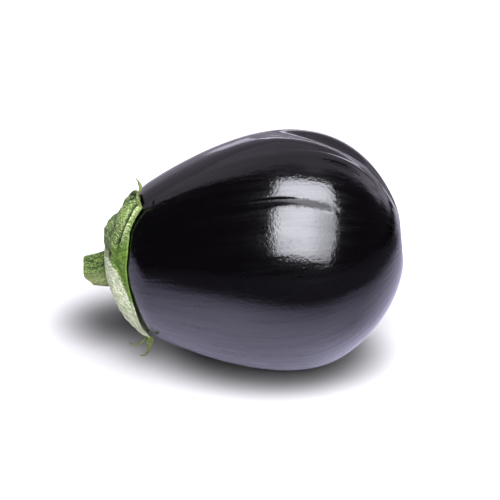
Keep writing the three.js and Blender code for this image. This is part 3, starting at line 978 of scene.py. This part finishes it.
def make_floor():
    """A pale floor all round. In reflections it fades out in front, as if only lit near the fruit.

    The fade follows the distance from the lit centre, with the left side drawn in to two fifths, and
    the floor behind glows up to a line on the right; this fade is a painted pool of light, and its
    darker left side and front right are painted shadow. Seen directly the floor is darker under the
    fruit, a painted shadow over an oval round the place where it rests and under the stem end, and
    white far off.
    an oval round the place where it rests, and white far off.
    """
    material = bpy.data.materials.new("pale_floor")
    tree = Tree(material)
    place = tree.node("ShaderNodeTexCoord", output=3)
    centre_x, centre_y = STUDIO["lit_centre"]
    sideways = place.part(0) * (1.0 / MM) - centre_x
    forward = place.part(1) * (1.0 / MM) - centre_y
    right = tree.math("MAXIMUM", sideways, sideways * -0.4)
    reach = (right * right + forward * forward) ** 0.5
    lit = reach.ease(STUDIO["unlit_radius"], STUDIO["lit_radius"])
    # Painted shadow: in reflections the floor is darker on the left.
    lit = lit * (0.6 + 0.4 * sideways.ease(-70.0, 30.0))
    cut, *ends = STUDIO["front_painted_shadow"]
    # Painted shadow in reflections over the front right.
    lit = lit * (1.0 - cut * sideways.ease(*ends[:2]) * forward.ease(*ends[2:]))
    mirrored = tree.node("ShaderNodeLightPath", output=3)
    # The floor's colour in reflections: a painted pool of light round the fruit.
    reflected = tree.mix(lit, STUDIO["unlit_colour"], STUDIO["lit_colour"])
    oval = place.reach(FLOOR_PAINTED_SHADOW["shift"], FLOOR_PAINTED_SHADOW["scale"])
    # Painted shadow: the floor's colour, as the camera sees it, darkens over the oval and under the stem
    # end.
    painted_shadow = FLOOR_PAINTED_SHADOW["core"]
    for step, begins, full in FLOOR_PAINTED_SHADOW["steps"]:
        painted_shadow = painted_shadow + step * oval.ease(begins, full)
    stem_end = place.reach(FLOOR_PAINTED_SHADOW["stem_shift"], FLOOR_PAINTED_SHADOW["stem_scale"])
    painted_shadow = painted_shadow * (1.0 - FLOOR_PAINTED_SHADOW["stem_depth"] * stem_end.ease(*FLOOR_PAINTED_SHADOW["stem_reach"]))
    seen = tree.node("ShaderNodeCombineColor", None, *(painted_shadow * part for part in FLOOR_PAINTED_SHADOW["tint"]))
    colour = tree.mix(mirrored, seen, reflected)
    shader = tree.node("ShaderNodeBsdfDiffuse", None, colour)
    # Painted light: in reflections the floor behind glows, more to the right, up to a line.
    far_glow = sideways.ease(*STUDIO["far_end"]) * (0.65 + 0.45 * sideways.ease(100.0, 200.0))
    far = tree.node("ShaderNodeEmission", None, (*STUDIO["tint"], 1.0), far_glow)
    shader = tree.node("ShaderNodeMixShader", None, mirrored * forward.ease(20.0, 150.0), shader, far)
    white = tree.node("ShaderNodeEmission", None, (1.0, 1.0, 1.0, 1.0), FLOOR_PAINTED_SHADOW["white_glow"])
    direct = tree.node("ShaderNodeLightPath", output=0)
    shader = tree.node("ShaderNodeMixShader", None, direct * oval.ease(*FLOOR_PAINTED_SHADOW["white"]), shader, white)
    tree.node("ShaderNodeOutputMaterial", None, shader)
    side = STUDIO["floor_side"]
    back = STUDIO["floor_back"]
    corners = [(-side, -side, 0.0), (side, -side, 0.0), (side, back, 0.0), (-side, back, 0.0)]
    panel("floor", corners, material, seen=True)


def make_wall():
    """Upright patches behind, dim apart from a bright strip low down; only reflections see them."""
    back = STUDIO["floor_back"]
    for count, (left, right, bottom, top, strength) in enumerate(WALL):
        corners = [(left, back, bottom), (right, back, bottom), (right, back, top), (left, back, top)]
        panel(f"wall_{count}", corners, glow(f"wall_{count}", strength))


def make_soft_light():
    """A flat light whose corners lie in the given directions, square to their mean.

    Its glow falls from the middle to the edges with the fourth power of each share across it, is
    weaker over the near right part, and comes in softly at the left edge.
    """
    directions = np.array(LIGHT_CORNERS)
    directions /= np.linalg.norm(directions, axis=1)[:, None]
    middle = directions.sum(axis=0)
    middle /= np.linalg.norm(middle)
    reach = STUDIO["light_distance"] / (directions @ middle)
    near_left, near_right, far_right, far_left = AXIS_CENTRE + directions * reach[:, None]
    count = GRID["light"]
    share = np.linspace(0.0, 1.0, count)
    along, across = share[:, None, None], share[None, :, None]
    near = near_left + (near_right - near_left) * across
    far = far_left + (far_right - far_left) * across
    points = (near + (far - near) * along).reshape(-1, 3)
    here = (np.arange(count - 1)[:, None] * count + np.arange(count - 1)[None, :]).ravel()
    quads = np.stack([here, here + 1, here + count + 1, here + count], axis=-1)
    piece = make_mesh("soft_light", points * MM, quads)
    places = np.broadcast_arrays(2.0 * share[None, :] - 1.0, 2.0 * share[:, None] - 1.0, 0.0)
    write_attribute(piece, "share", np.stack(places, axis=-1).reshape(-1, 3))
    material = bpy.data.materials.new("soft_light")
    tree = Tree(material)
    place = tree.attribute("share")
    across = place.part(0)
    along = place.part(1)
    from_sides = 1.0 - 0.38 * tree.math("ABSOLUTE", across) ** 4.0
    from_ends = 1.0 - 0.5 * tree.math("ABSOLUTE", along) ** 4.0
    near_right = 1.0 - 0.42 * across.ease(-0.1, 0.7) * along.ease(0.6, 0.2)
    left_edge = 0.15 + 0.85 * across.ease(-1.0, -0.72)
    strength = from_sides * from_ends * near_right * left_edge * STUDIO["light_glow"]
    light = tree.node("ShaderNodeEmission", None, (*STUDIO["light_colour"], 1.0), strength)
    tree.node("ShaderNodeOutputMaterial", None, light)
    piece.data.materials.append(material)
    piece.visible_camera = False


def make_world():
    """White where the camera sees it, a dark room everywhere else."""
    world = bpy.data.worlds.new("studio")
    bpy.context.scene.world = world
    tree = Tree(world)
    white = tree.node("ShaderNodeBackground", None, (1.0, 1.0, 1.0, 1.0), 1.1)
    dark = tree.node("ShaderNodeBackground", None, (0.9, 1.0, 1.15, 1.0), 0.04)
    seen = tree.node("ShaderNodeLightPath", output=0)
    shown = tree.node("ShaderNodeMixShader", None, seen, dark, white)
    tree.node("ShaderNodeOutputWorld", None, shown)


# ---- assembly -----------------------------------------------------------------------------------

make_camera()
fruit = make_fruit()
fruit.data.materials.append(skin_material())
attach(fruit, "root")
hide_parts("fruit")

calyx = make_calyx()
calyx.data.materials.append(calyx_material())
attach(calyx, "root")
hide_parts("calyx")

stem = make_stem()
stem.data.materials.append(stem_material())
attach(stem, "root")
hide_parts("stem")

make_floor()
make_wall()
make_soft_light()
make_world()
bpy.context.scene.view_settings.view_transform = "Standard"
